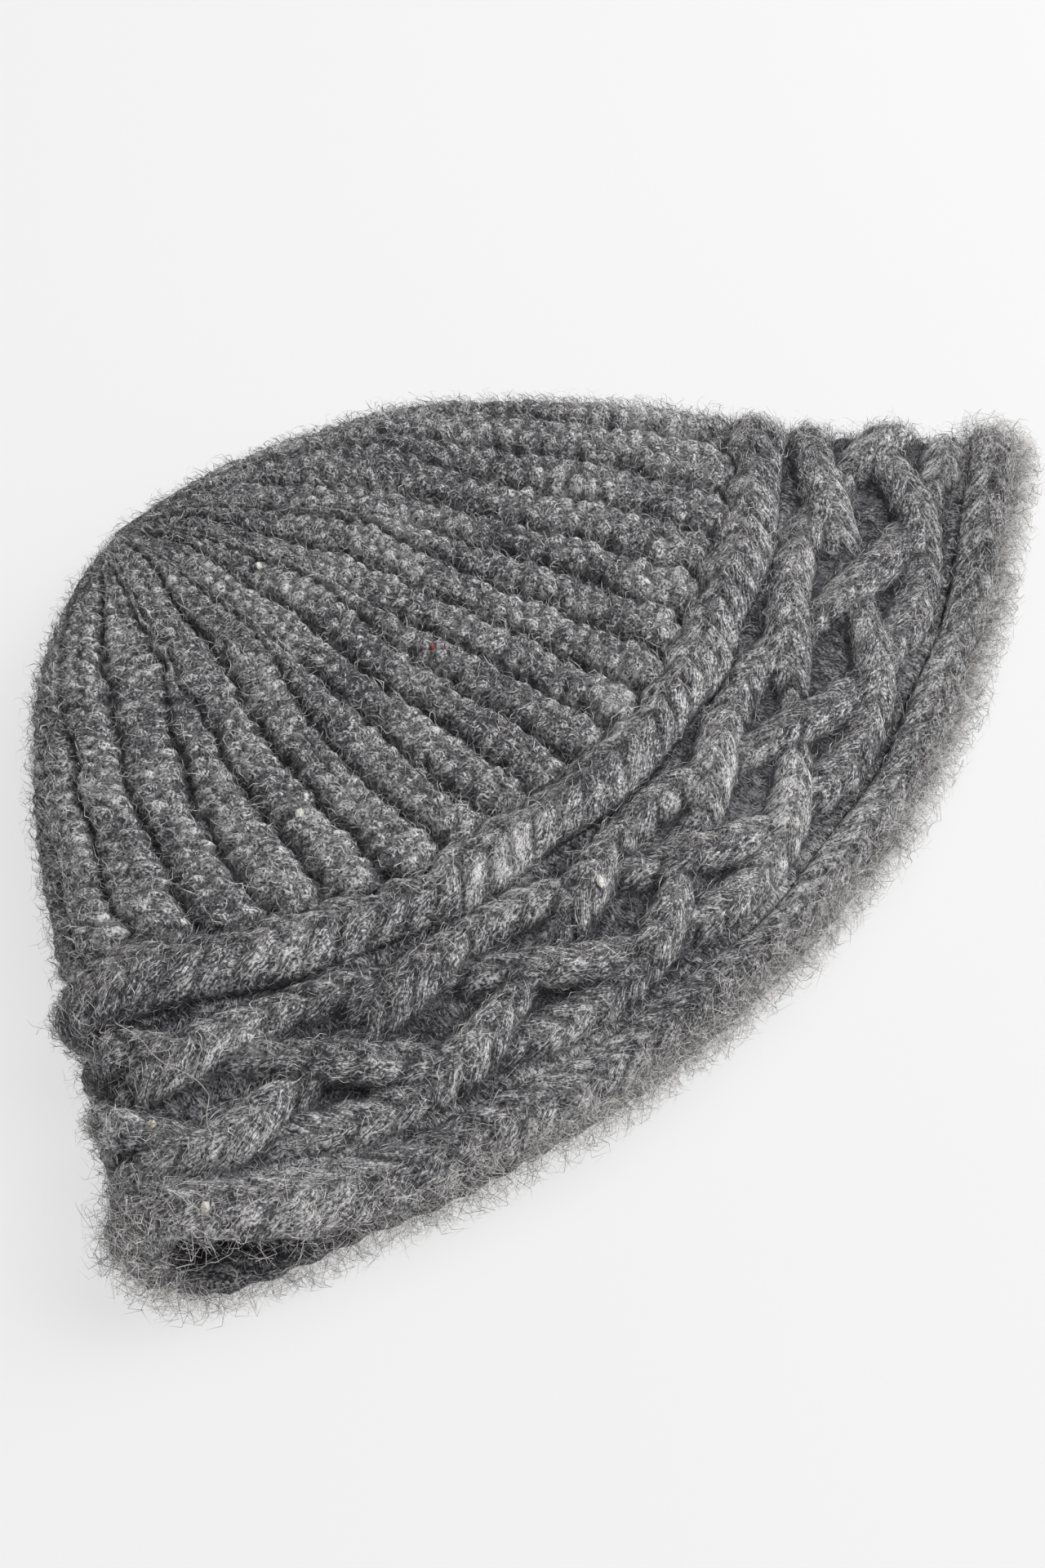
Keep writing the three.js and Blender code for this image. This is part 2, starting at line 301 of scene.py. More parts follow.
def outward(turn, reach):
    """Unit vectors out of the skin."""
    ahead = np.minimum(reach + 0.2, POINT)
    round_ = skin(turn + 0.001, reach) - skin(turn - 0.001, reach)
    along = skin(turn, ahead) - skin(turn, ahead - 0.4)
    return unit(np.cross(round_, along))


def fabric(turn, reach, depth, lowest=0.2):
    """Points of the fabric, depth under the skin, pressed flat where the hat rests."""
    turn, reach, depth = np.broadcast_arrays(turn, reach, depth)
    points = skin(turn, reach) - outward(turn, reach) * depth[..., None]
    points[..., 2] = np.maximum(points[..., 2], lowest)
    return points


def yarn_lay(turn, reach, slant):
    """Unit vectors along the yarn, which turns by slant from the way round the hat towards the crown."""
    size = girth(reach)
    step_turn, step_reach = np.cos(slant) * 0.5 / size, np.sin(slant) * 0.5
    ahead = skin(turn + step_turn, np.minimum(reach + step_reach, POINT))
    behind = skin(turn - step_turn, reach - step_reach)
    return unit(ahead - behind)


def dome(across):
    """Half-round profile, 1 in the middle and 0 at -1 and 1."""
    return np.sqrt(np.clip(1 - across**2, 0, 1))


def smooth_row(values, steps=4):
    """More values between those of a row, along a smooth curve."""
    at = np.linspace(0, len(values) - 1, steps * (len(values) - 1) + 1)
    padded = np.concatenate([[2 * values[0] - values[1]], values, [2 * values[-1] - values[-2]]])
    i = np.minimum(at.astype(int), len(values) - 2)
    t = at - i
    a, b, c, d = padded[i], padded[i + 1], padded[i + 2], padded[i + 3]
    return b + 0.5 * t * (c - a + t * (2 * a - 5 * b + 4 * c - d + t * (3 * (b - c) + d - a)))


def chance_of(seed, number):
    """A fixed random value from 0 to 1 for each whole number."""
    return np.random.default_rng(seed).uniform(0, 1, 512)[np.asarray(number).astype(int) % 512]


def stitch_legs(along, across, seed, groove=0.0, slope=0.8):
    """A column of V stitches, one for each unit along, its legs on either side of the groove.

    Gives the relief from 0 to 1, the place from -0.5 to 0.5 across a leg and from 0 to 1 down it, and the
    leg's number.
    """
    side = np.where(across > groove, (across - groove) / (1 - groove), (groove - across) / (1 + groove))
    place = along + slope * (side - 0.5)
    number = 2 * np.floor(place) + (across > groove)
    from_leg = place - np.floor(place) - 0.5 + 0.24 * (chance_of(seed, number) - 0.5)
    plump = 0.65 + 0.35 * chance_of(seed + 1, number)
    leg = dome(np.clip((side - 0.5) / 0.6, -1, 1)) * np.clip(1 - (2.1 * from_leg) ** 2, 0, 1) ** 0.45
    return plump * leg, from_leg, side, number


def yarn_place(x, y, slant, chance):
    """Place on the yarn of a stitch: along it, across it and the stitch's own chance."""
    along = x * np.cos(slant) + y * np.sin(slant) + 40 * chance
    across = y * np.cos(slant) - x * np.sin(slant) + 25 * chance
    return np.stack([along, across, chance], -1)


def edge_of(piece, turn):
    """The reach of a piece's lower edge, which the stitches push to and fro in waves and by chance."""
    reach, waves, shift, push, seed, cells, stray = EDGES[piece]
    pushed = push * np.cos(2 * math.pi * (waves * turn + shift))
    return reach + pushed + stray * noise_round(seed, cells, turn)


def crown_relief(turn, reach, sizes):
    """Depth, slant of the yarn and place on the yarn of the garter ridges."""
    share = (reach - BORDER_END) / (POINT - BORDER_END)
    widths = np.stack([
        np.maximum(ease(end + RIDGE_FADE, end - RIDGE_FADE, share), RIDGE_LEAST) if end < 1
        else np.ones_like(share) for end in RIDGE_REACH
    ])
    total = widths.sum(0)
    wander = 0.1 * noise(19, RIDGES, 7, turn, reach) + 0.1 * noise(20, 4 * RIDGES, 2.2, turn, reach)
    wedge = (RIDGES * turn - RIDGE_SHIFT + wander) / RIDGES_PER_WEDGE
    place_in = (wedge - np.floor(wedge)) * total
    first, second = widths[0], widths[0] + widths[1]
    place = (place_in >= first).astype(int) + (place_in >= second)
    start = np.choose(place, [np.zeros_like(first), first, second])
    width = np.choose(place, widths)
    before, after = np.choose((place + 2) % 3, widths), np.choose((place + 1) % 3, widths)
    across = 2 * (place_in - start) / width - 1
    ridge = RIDGES_PER_WEDGE * np.floor(wedge).astype(int) + place
    open_ = ease(POINT, POINT - GATHER, reach)
    edge = np.minimum(width, np.where(across < 0, before, after))
    drift = 0.3 * noise(12, RIDGES, 9, turn, reach)
    stitch = (reach - BORDER_END) / sizes.purl_pitch + chance_of(11, ridge % RIDGES) + drift
    bump, chance = np.zeros_like(reach), np.zeros_like(reach)
    x, y = np.zeros_like(reach), np.zeros_like(reach)
    wide = girth(reach) / RIDGES * 1.5 * width / total
    for side, offset in ((-1, 0.0), (1, 0.5)):
        number = np.floor(stitch - offset)
        from_loop = stitch - offset - number - 0.5
        own = chance_of(13 + side, 31 * (ridge % RIDGES) + number)
        plump = 0.55 + 0.45 * chance_of(15 + side, 37 * (ridge % RIDGES) + number)
        beside = across - (0.36 + 0.18 * own) * side
        round_ = 1 - (from_loop / 0.5) ** 2 - (beside / 0.6) ** 2
        tall = plump * np.clip(round_, 0, 1) ** 0.6
        chance = np.where(tall > bump, own, chance)
        x = np.where(tall > bump, beside * wide, x)
        y = np.where(tall > bump, from_loop * sizes.purl_pitch, y)
        bump = np.maximum(bump, tall)
    valley = sizes.ridge_depth * open_ * edge * (1 - dome(across * 0.99))
    loop_depth = sizes.purl_depth * open_ * np.minimum(width * 1.2, 1) * (1 - bump)
    swell = 0.6 * lattice_noise(17, RIDGES * turn / RIDGES_PER_WEDGE, reach / 17, WEDGES)
    lump = 0.2 * noise(18, 6 * RIDGES, 1.9, turn, reach)
    rounded = 2.2 * ease(3.5, -1, reach - edge_of("crown", turn))
    fuller = 0.9 * ease(0.12, 0.03, np.abs(turn - 0.5)) * ease(BORDER_END, BORDER_END + 15, reach)
    depth = valley + loop_depth + 0.1 - (swell + lump) * open_ + rounded - fuller
    slant = math.pi / 2 + 0.9 * np.sign(across) * np.cos(2 * math.pi * stitch)
    ring, angle = np.hypot(x, y), np.arctan2(y, x)
    yarn = np.stack([2.0 * angle + 40 * chance, ring + 25 * chance, chance], -1)
    return depth, slant, yarn


def strand_middle(repeat, strand):
    """Reach of a strand's middle, its slope in reach per repeat, and how far it lies over the others."""
    phase = math.pi / 2 * (repeat - 0.5 - strand)
    leaning = np.cos(phase) ** 2 * (PLAIT_LEAN * np.cos(phase) + PLAIT_OFFSET)
    reach = (RIM_END + BAND_END) / 2 + PLAIT_SWING * np.sin(phase) + leaning
    slope = math.pi / 2 * PLAIT_SWING * np.cos(phase)
    over = np.cos(2 * math.pi * repeat) * np.cos(phase)
    return reach, slope, over


def plait_relief(turn, reach, sizes):
    """Depth, slant and yarn of the four strands that cross over and under each other."""
    repeat = PLAIT_REPEATS * turn + PLAIT_SHIFT
    per_repeat = girth(reach) / PLAIT_REPEATS
    pitch = girth(reach) / ROWS
    beside_edge = 1 - 0.35 * ease(5, 0, reach - RIM_END) - 0.1 * ease(5, 0, BAND_END - reach)
    depth = sizes.rope_depth * beside_edge + 0.5 * noise(21, ROWS, 4, turn, reach)
    slant = np.full_like(reach, math.pi / 2)
    row = ROWS * turn - np.floor(ROWS * turn)
    yarn = yarn_place(pitch * (row - 0.5), reach, slant, chance_of(26, np.floor(ROWS * turn)))
    for strand in range(PLAIT_STRANDS):
        middle, slope, over = strand_middle(repeat, strand)
        lean = np.arctan2(slope, per_repeat)
        wander = 0.09 * noise_round(22 + strand, 2 * PLAIT_REPEATS, turn)
        across = (reach - middle) * np.cos(lean) / (sizes.rope_width / 2) + wander
        legs, from_leg, side, number = stitch_legs(ROWS * turn + 0.23 * strand, across, 61 + 2 * strand)
        swell = 0.45 * noise_round(31 + strand, ROWS // 2, turn)
        rope = sizes.rope_lift * (1 - over) + sizes.rope_depth * (1 - dome(across) ** 0.8) - swell
        rope = rope + sizes.stitch_depth * (1 - legs)
        on_top = (np.abs(across) < 1) & (rope < depth)
        depth = np.where(on_top, rope, depth)
        leg_slant = lean - sizes.leg_angle * np.sign(across)
        slant = np.where(on_top, leg_slant, slant)
        place = yarn_place(
            pitch * from_leg, sizes.rope_width / 2 * side * np.sign(across), leg_slant,
            chance_of(27 + strand, number))
        yarn = np.where(on_top[..., None], place, yarn)
    lump = 0.3 * noise(28, 5 * ROWS, 1.5, turn, reach)
    return np.minimum(depth, sizes.rope_depth + LEAST_RELIEF) - lump, slant, yarn


def cord_relief(turn, reach, low, high, depths, sizes, seed, groove, lumpy):
    """Depth, slant and yarn of one column of stitches between two reaches, with valleys on both sides."""
    across = 2 * (reach - low) / (high - low) - 1
    legs, from_leg, side, number = stitch_legs(ROWS * turn, across, seed, groove, 1.0)
    swell = lumpy * noise(seed + 3, ROWS // 3, 9, turn, reach)
    lump = 0.35 * noise(seed + 4, 5 * ROWS, 1.5, turn, reach)
    stitch_depth = min(sizes.stitch_depth, 0.6 * max(depths))
    depth = np.where(across < 0, *depths) * (1 - dome(0.98 * across) ** 1.2) + stitch_depth * (1 - legs)
    slant = -sizes.leg_angle * np.sign(across - groove)
    yarn = yarn_place(
        girth(reach) / ROWS * from_leg, (high - low) / 2 * side * np.sign(across - groove), slant,
        chance_of(seed + 5, number))
    return depth - swell - lump, slant, yarn


def grid_of(upper, lower, outside, inside):
    """Turns of a ring's points, closer together on the upper side, and the rings' shares of the way."""
    turn = np.concatenate([
        np.linspace(0, 0.5, upper, endpoint=False), np.linspace(0.5, 1, lower, endpoint=False)])
    return turn, np.linspace(0, 1, outside), np.linspace(0, 1, inside)


def mesh_of_rings(name, rings, closed_at_point):
    """A closed shell from rings, each with its points and their height (the share of painted shade, from 0
    fully shaded to 1 unshaded), nap, fray, lay and yarn.
    """
    count = len(rings[0]["points"])
    size = len(rings) * count
    points = np.concatenate([ring["points"] for ring in rings])
    index = np.arange(size).reshape(len(rings), count)
    beside = np.roll(index, -1, 1)
    rows = range(len(rings) - 1) if closed_at_point else range(len(rings))
    faces = []
    for row in rows:
        following = (row + 1) % len(rings)
        faces.append(np.stack([index[row], beside[row], beside[following], index[following]], -1))
    extra = 0
    if closed_at_point:
        points = np.concatenate([points, [rings[0]["points"].mean(0), rings[-1]["points"].mean(0)]])
        extra = 2
        faces.append(np.stack([beside[0], index[0], np.full(count, size)], -1))
        faces.append(np.stack([index[-1], beside[-1], np.full(count, size + 1)], -1))
    loops = np.concatenate([row.ravel() for row in faces])
    totals = np.concatenate([np.full(len(row), row.shape[1]) for row in faces])
    mesh = bpy.data.meshes.new(name)
    mesh.vertices.add(size + extra)
    mesh.vertices.foreach_set("co", (points * MM).astype(np.float32).ravel())
    mesh.loops.add(len(loops))
    mesh.loops.foreach_set("vertex_index", loops.astype(np.int32))
    mesh.polygons.add(len(totals))
    starts = np.concatenate([[0], np.cumsum(totals)[:-1]])
    mesh.polygons.foreach_set("loop_start", starts.astype(np.int32))
    mesh.update(calc_edges=True)
    mesh.validate()
    for keys, kind, field, at_tip in (
        (("height", "nap", "fray"), "FLOAT", "value", 0.0),
        (("lay", "yarn"), "FLOAT_VECTOR", "vector", (1.0, 0.0, 0.0)),
    ):
        for key in keys:
            values = np.concatenate([ring[key] for ring in rings] + [[at_tip]] * extra)
            attribute = mesh.attributes.new(key, kind, "POINT")
            attribute.data.foreach_set(field, values.astype(np.float32).ravel())
    mesh.shade_smooth()
    return mesh


def outside_ring(turn, reach, relief):
    """One ring on the outside of a piece, from its relief.

    nap weights the short hairs, and fray the longer ones, which show most at the folds and the free edge.
    """
    depth, slant, yarn = relief
    points = fabric(turn, reach, depth)
    clear = ease(0.3, 3.0, points[:, 2])
    from_edge = reach - edge_of("rim", turn)
    edge = ease(3.5, 0.5, from_edge)
    from_fold = np.abs(2 * turn - np.round(2 * turn)) / 2
    under = np.where(turn < 0.5, 1.0 + edge, 0.3 + 0.7 * edge) + 0.6 * ease(0.07, 0.02, from_fold)
    upper, lower = 0.4 + 4.6 * ease(0.06, 0.2, turn), 0.8 + 1.7 * ease(0.85, 0.92, turn)
    fringe = np.where(turn < 0.5, upper, lower) * ease(2.2, 0.3, from_edge)
    fray = 0.08 + np.maximum(0.8 * ease(0.05, 0, from_fold), fringe)
    return {
        "points": points,
        "from_edge": from_edge,
        "depth": depth,
        "lay": yarn_lay(turn, reach, slant),
        "yarn": yarn,
        "nap": under * clear,
        "fray": fray * ease(0.3, 2.0, points[:, 2]),
    }


def inside_ring(turn, reach, wall, nap=0.0):
    """One ring on the inside, where the back of the knitting shows."""
    purl = 0.5 * np.sin(math.pi * ROWS * turn) * np.sin(math.pi * reach / 4)
    flat = np.zeros_like(turn)
    yarn = np.stack([girth(reach) * turn, reach, flat], -1)
    ring = outside_ring(turn, reach, (wall - purl, flat, yarn))
    # Painted shade inside the hat: beyond the first few millimetres from the edge the inside gets full
    # painted shade, a little more than the deepest valleys; near the edge it stays lit.
    ring["height"] = ease(4.5, 1.0, reach) - 0.15
    ring["nap"], ring["fray"] = nap * ease(5, 1.5, reach), 0.4 * ease(1.5, 0.0, reach)
    return ring


def smoothed(grid, steps):
    """A grid of rings and columns, averaged over some steps to each side."""
    for axis, mode in ((0, "edge"), (1, "wrap")):
        margin = [(steps, steps) if axis == side else (0, 0) for side in (0, 1)]
        padded = np.pad(grid, margin, mode)
        count = grid.shape[axis]
        window = 2 * steps + 1
        grid = sum(np.take(padded, range(k, k + count), axis) for k in range(window)) / window
    return grid


def set_painted_shade(rings, wide=9, soft=1.8):
    """Gives each place on the outside its share of painted shade, kept as its height: from 0, full painted
    shade down in a gap, to 1, no painted shade on top of the knitting.

    It compares the depth with the mean depth near by and, over wide steps, farther around. Places deeper than
    3.5 mm get more painted shade.
    """
    depth = np.stack([ring["depth"] for ring in rings])
    for ring, own, far, close in zip(rings, depth, smoothed(depth, wide), smoothed(depth, 2)):
        sunk = 0.25 * np.maximum(own - 3.5, 0)
        ring["height"] = ease(-1, 1, (far - own) / soft + (close - own) / (soft + 0.3) + 0.45 - sunk)


def rings_between(turn, low, high, shares, relief):
    """Rings on the outside at shares of the way between two reaches, with the relief at each reach."""
    rings = []
    for share in shares:
        reach = low + share * (high - low)
        rings.append(outside_ring(turn, reach, relief(reach)))
    return rings


def back_of_rings(turn, low, high, shares, wall, nap=0.0):
    """Rings on the inside, from the higher reach back to the lower."""
    return [inside_ring(turn, high + share * (low - high) + 0 * turn, wall, nap) for share in shares]


def add_piece(name, mesh, node, material):
    """Puts a finished piece in the scene, in place of its CAD solid where it has one."""
    piece = bpy.data.objects.new(name, mesh)
    bpy.context.scene.collection.objects.link(piece)
    mesh.materials.append(material)
    if node:
        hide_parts(node)
    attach(piece, BODY)


def knit(base, node, rings, closed_at_point=False):
    """Adds the knitted piece that takes a node's place, made from its rings."""
    wool = bpy.data.materials.get("brushed_wool") or wool_material(scene_settings()[1])
    add_piece("knitted_" + base, mesh_of_rings("knitted_" + base, rings, closed_at_point), node, wool)


class Socket:
    """An output socket that can be worked with as a number in Python expressions."""

    def __init__(self, nodes, socket):
        self.nodes = nodes
        self.socket = socket

    def math(self, operation, *values):
        sockets = {i: value for i, value in enumerate(values)}
        return self.nodes.add("ShaderNodeMath", {"operation": operation}, sockets)

    def __add__(self, other):
        return self.math("ADD", self, other)

    __radd__ = __add__

    def __sub__(self, other):
        return self.math("SUBTRACT", self, other)

    def __rsub__(self, other):
        return self.math("SUBTRACT", other, self)

    def __mul__(self, other):
        return self.math("MULTIPLY", self, other)

    __rmul__ = __mul__


class Nodes:
    """Adds nodes to one tree."""

    def __init__(self, tree):
        self.tree = tree

    def add(self, kind, settings=None, sockets=None, output=0):
        node = self.tree.nodes.new(kind)
        for name, value in (settings or {}).items():
            if name == "stops":
                self.set_stops(node.color_ramp, value)
            else:
                setattr(node, name, value)
        for name, value in (sockets or {}).items():
            if isinstance(value, Socket):
                self.tree.links.new(value.socket, node.inputs[name])
            elif value is not None:
                node.inputs[name].default_value = value
        return Socket(self, node.outputs[output]) if node.outputs else node

    def surface(self, inputs):
        shader = self.add("ShaderNodeBsdfPrincipled", None, inputs)
        self.add("ShaderNodeOutputMaterial", None, {"Surface": shader})

    def texture(self, scale, detail, place=None, roughness=0.5, output=0):
        place = place or self.add("ShaderNodeTexCoord", output=3)
        return self.add("ShaderNodeTexNoise", None, {
            "Vector": place, "Scale": scale, "Detail": detail, "Roughness": roughness,
        }, output)

    def value(self, name):
        return self.add("ShaderNodeAttribute", {"attribute_name": name}, output=2)

    @staticmethod
    def set_stops(ramp, stops):
        while len(ramp.elements) < len(stops):
            ramp.elements.new(1.0)
        for element, (position, colour) in zip(ramp.elements, stops):
            element.position = position
            element.color = (*colour, 1.0)


def new_material(name):
    """A material with no nodes yet, and the Nodes that adds them."""
    material = bpy.data.materials.new(name)
    material.use_nodes = True
    material.node_tree.nodes.clear()
    return material, Nodes(material.node_tree)


def with_painted_valley_shade(nodes, colour, wool):
    """The colour with painted shade: multiplied towards a dark blue-grey down in the knitting, by the height
    share.
    """
    return nodes.add("ShaderNodeMix", {"data_type": "RGBA", "blend_type": "MULTIPLY"}, {
        "Factor": (1 - nodes.value("height")) * wool.valley_shade, 6: colour, 7: PAINTED_SHADE_COLOUR,
    }, output=2)


def wool_material(wool):
    """Brushed heather wool: light and dark hairs mixed, with painted shade down in the knitting."""
    material, nodes = new_material("brushed_wool")
    yarn = nodes.add("ShaderNodeAttribute", {"attribute_name": "yarn"}, output=1)
    swirl = nodes.texture(380.0, 1.0, output=1)
    curled = nodes.add("ShaderNodeVectorMath", {"operation": "MULTIPLY_ADD"}, {
        0: swirl, 1: (2.4, 2.4, 0.0), 2: yarn,
    })
    along = nodes.add("ShaderNodeMapping", None, {"Vector": curled, "Scale": (0.7, 3.4, 9.0)})
    fibres = nodes.texture(1.0, 2.0, along, 0.6)
    fine, clumps, patches = (nodes.texture(scale, 1.0) for scale in (1900.0, 420.0, 45.0))
    mixed = (fibres - 0.5) * 2.4 + (fine - 0.5) * 1.6 + (clumps - 0.5) * 0.9 + (patches - 0.5) * 0.8 + 0.5
    heather = nodes.add("ShaderNodeValToRGB", {"stops": [
        (0.12, wool.dark_hair), (0.5, wool.middle_hair), (0.9, wool.light_hair),
    ]}, {"Fac": mixed})
    bump = nodes.add("ShaderNodeBump", None, {
        "Strength": 1.0, "Distance": 0.0007, "Height": fibres * 0.7 + fine * 0.4 + clumps * 0.5,
    })
    nodes.surface({
        "Base Color": with_painted_valley_shade(nodes, heather, wool), "Roughness": 0.95, "Normal": bump,
        "Specular IOR Level": 0.2, "Sheen Weight": 0.15, "Sheen Roughness": 0.6,
    })
    return material


def fleck_material():
    """Pale neps and stray hairs, each with a tint from reddish to white."""
    material, nodes = new_material("fleck")
    fluff = nodes.texture(1500.0, 2.0)
    colour = nodes.add("ShaderNodeValToRGB", {"stops": [
        (0.0, (0.25, 0.06, 0.04)), (0.4, (0.5, 0.42, 0.3)), (0.8, (0.85, 0.83, 0.78)),
    ]}, {"Fac": nodes.value("tint") + (fluff - 0.5) * 0.5})
    bump = nodes.add("ShaderNodeBump", None, {"Strength": 0.8, "Distance": 0.0004, "Height": fluff})
    nodes.surface({"Base Color": colour, "Roughness": 0.85, "Normal": bump, "Specular IOR Level": 0.3})
    return material


def hair_material(name, wool, light_share, least=0.0):
    """Single hairs, each light, middling or dark, with the painted shade of the knitting where they grow.

    least above 0 leaves out the darkest hairs.
    """
    material, nodes = new_material(name)
    hair = nodes.add("ShaderNodeValToRGB", {"stops": [
        (0.0, wool.dark_hair), (0.45, wool.middle_hair),
        (1.0 - light_share, wool.light_hair), (1.0, wool.pale_hair),
    ]}, {"Fac": nodes.value("shade") * (1 - least) + least})
    nodes.surface({
        "Base Color": with_painted_valley_shade(nodes, hair, wool), "Roughness": 0.8, "Specular IOR Level": 0.25,
    })
    return material


def tube(middle, radius):
    """Points and faces of a thin three-sided tube with pointed ends along a row of points."""
    ahead = np.gradient(middle, axis=0)
    side = np.cross(ahead, [0.0, 0.0, 1.0])
    side /= np.linalg.norm(side, axis=-1, keepdims=True)
    up = np.cross(side, ahead)
    up /= np.linalg.norm(up, axis=-1, keepdims=True)
    rings = len(middle) - 2
    points, faces = [tuple(middle[0])], []
    for ring in range(1, rings + 1):
        for corner in range(3):
            angle = 2 * math.pi * corner / 3
            aside = side[ring] * math.cos(angle) + up[ring] * math.sin(angle)
            points.append(tuple(middle[ring] + radius * aside))
    points.append(tuple(middle[-1]))
    tip = len(points) - 1
    for corner in range(3):
        beside = (corner + 1) % 3
        faces.append((0, 1 + corner, 1 + beside))
        for ring in range(rings - 1):
            a, b = 1 + 3 * ring + corner, 1 + 3 * ring + beside
            faces += [(a, b + 3, b), (a, a + 3, b + 3)]
        last = 1 + 3 * (rings - 1)
        faces.append((last + beside, last + corner, tip))
    return points, faces


def hair_mesh(name, seed, curl, rings, radius):
    """One closed hair of unit length along X, which bows and curls."""
    chance = np.random.default_rng(seed)
    t = np.linspace(0, 1, rings + 2)
    bow, twist, start = (chance.uniform(*ends) for ends in ((0.3, 1.0), (1.0, 2.5), (0, 2 * math.pi)))
    middle = np.stack([
        t,
        curl * (np.sin(start + twist * math.pi * t) - np.sin(start)),
        curl * bow * (np.cos(start + twist * math.pi * t) - np.cos(start)) + 0.25 * curl * t,
    ], -1)
    points, faces = tube(middle, radius)
    mesh = bpy.data.meshes.new(name)
    mesh.from_pydata(points, [], faces)
    mesh.update()
    return mesh


def hair_collection(kind):
    """A few different hairs of a kind to pick from."""
    collection = bpy.data.collections.new(kind + "_hair")
    seed, *shape = HAIR_SHAPES[kind]
    for number in range(HAIR_KINDS):
        mesh = hair_mesh(f"{kind}_hair_{number}", seed + number, *shape)
        collection.objects.link(bpy.data.objects.new(mesh.name, mesh))
    return collection


def nap_tree(name):
    """A tree that strews hairs over a knitted piece, along the lay of its yarn."""
    tree = bpy.data.node_groups.new(name, "GeometryNodeTree")
    for title, kind in (
        ("Geometry", "Geometry"), ("Hairs", "Collection"), ("Material", "Material"), ("Density", "Float"),
        ("Shortest", "Float"), ("Longest", "Float"), ("Weight", "String"), ("Stray", "Float"),
        ("Lift Low", "Float"), ("Lift High", "Float"), ("Seed", "Int"),
    ):
        tree.interface.new_socket(title, in_out="INPUT", socket_type="NodeSocket" + kind)
    tree.interface.new_socket("Geometry", in_out="OUTPUT", socket_type="NodeSocketGeometry")
    nodes = Nodes(tree)
    group = tree.nodes.new("NodeGroupInput")
    given = {socket.name: Socket(nodes, socket) for socket in group.outputs if socket.name}

    def named(kind, attribute):
        return nodes.add("GeometryNodeInputNamedAttribute", {"data_type": kind}, {"Name": attribute})

    def random(low, high, step):
        sockets = {2: low, 3: high, "Seed": given["Seed"] + step}
        return nodes.add("FunctionNodeRandomValue", {"data_type": "FLOAT"}, sockets, output=1)

    points = nodes.add("GeometryNodeDistributePointsOnFaces", None, {
        "Mesh": given["Geometry"], "Seed": given["Seed"],
        "Density": named("FLOAT", given["Weight"]) * given["Density"],
    })
    normal = Socket(nodes, points.socket.node.outputs["Normal"])
    turned = nodes.add("FunctionNodeAxesToRotation", {"primary_axis": "Z", "secondary_axis": "X"}, {
        "Primary Axis": normal, "Secondary Axis": named("FLOAT_VECTOR", "lay"),
    })
    swing = nodes.add("ShaderNodeCombineXYZ", None, {
        "X": random(-math.pi, math.pi, 7),
        "Y": random(given["Lift High"] * -1, given["Lift Low"] * -1, 1),
        "Z": random(given["Stray"] * -1, given["Stray"], 2),
    })
    bent = nodes.add("FunctionNodeEulerToRotation", None, {"Euler": swing})
    rotation = nodes.add("FunctionNodeRotateRotation", {"rotation_space": "LOCAL"}, {
        "Rotation": turned, "Rotate By": bent,
    })
    picked = nodes.add("GeometryNodeCollectionInfo", None, {
        "Collection": given["Hairs"], "Separate Children": True, "Reset Children": True,
    })
    length = random(given["Shortest"], given["Longest"], 3)
    which = nodes.add("FunctionNodeRandomValue", {"data_type": "INT"}, {
        4: 0, 5: HAIR_KINDS - 1, "Seed": given["Seed"] + 4,
    }, output=2)
    placed = nodes.add("GeometryNodeInstanceOnPoints", None, {
        "Points": points, "Instance": picked, "Pick Instance": True, "Instance Index": which,
        "Rotation": rotation, "Scale": length,
    })
    shaded = nodes.add("GeometryNodeStoreNamedAttribute", {"data_type": "FLOAT", "domain": "INSTANCE"}, {
        "Geometry": placed, "Name": "shade", "Value": random(0.0, 1.0, 5),
    })
    real = nodes.add("GeometryNodeRealizeInstances", None, {"Geometry": shaded})
    corner = nodes.add("GeometryNodeInputPosition")
    lowest = (-9.0, -9.0, FLOOR_GAP)
    above = nodes.add("ShaderNodeVectorMath", {"operation": "MAXIMUM"}, {0: corner, 1: lowest})
    laid = nodes.add("GeometryNodeSetPosition", None, {"Geometry": real, "Position": above})
    painted = nodes.add("GeometryNodeSetMaterial", None, {"Geometry": laid, "Material": given["Material"]})
    output = tree.nodes.new("NodeGroupOutput")
    tree.links.new(painted.socket, output.inputs["Geometry"])
    return tree


def strew(surface, name, inputs):
    """Runs the hair tree over a surface and keeps the result as a plain piece of its own."""
    tree = bpy.data.node_groups.get("nap") or nap_tree("nap")
    carrier = bpy.data.objects.new(name + "_carrier", surface.data)
    bpy.context.scene.collection.objects.link(carrier)
    modifier = carrier.modifiers.new("hairs", "NODES")
    modifier.node_group = tree
    for item in tree.interface.items_tree:
        if item.in_out == "INPUT" and item.name in inputs:
            modifier[item.identifier] = inputs[item.name]
    bpy.context.view_layer.update()
    evaluated = carrier.evaluated_get(bpy.context.evaluated_depsgraph_get())
    mesh = bpy.data.meshes.new_from_object(evaluated)
    carrier.modifiers.remove(modifier)
    bpy.data.objects.remove(carrier)
    mesh.name = name
    mesh.materials.clear()
    add_piece(name, mesh, None, inputs["Material"])


def strew_kind(kind, material):
    """Strews one kind of hair over the four knitted pieces."""
    wool = scene_settings()[1]
    hairs = hair_collection(kind)
    weight, seed, shortest, lift_low, lift_high, rows = STREWN[kind]
    for step, (base, (density, longest, stray)) in enumerate(zip(PIECES, rows)):
        strew(bpy.data.objects["knitted_" + base], f"{kind}_{base}", {
            "Hairs": hairs, "Material": material, "Density": wool.nap_density * density,
            "Weight": weight, "Shortest": shortest, "Longest": longest, "Stray": stray,
            "Lift Low": lift_low, "Lift High": lift_high, "Seed": wool.nap_seed + seed + 10 * step,
        })


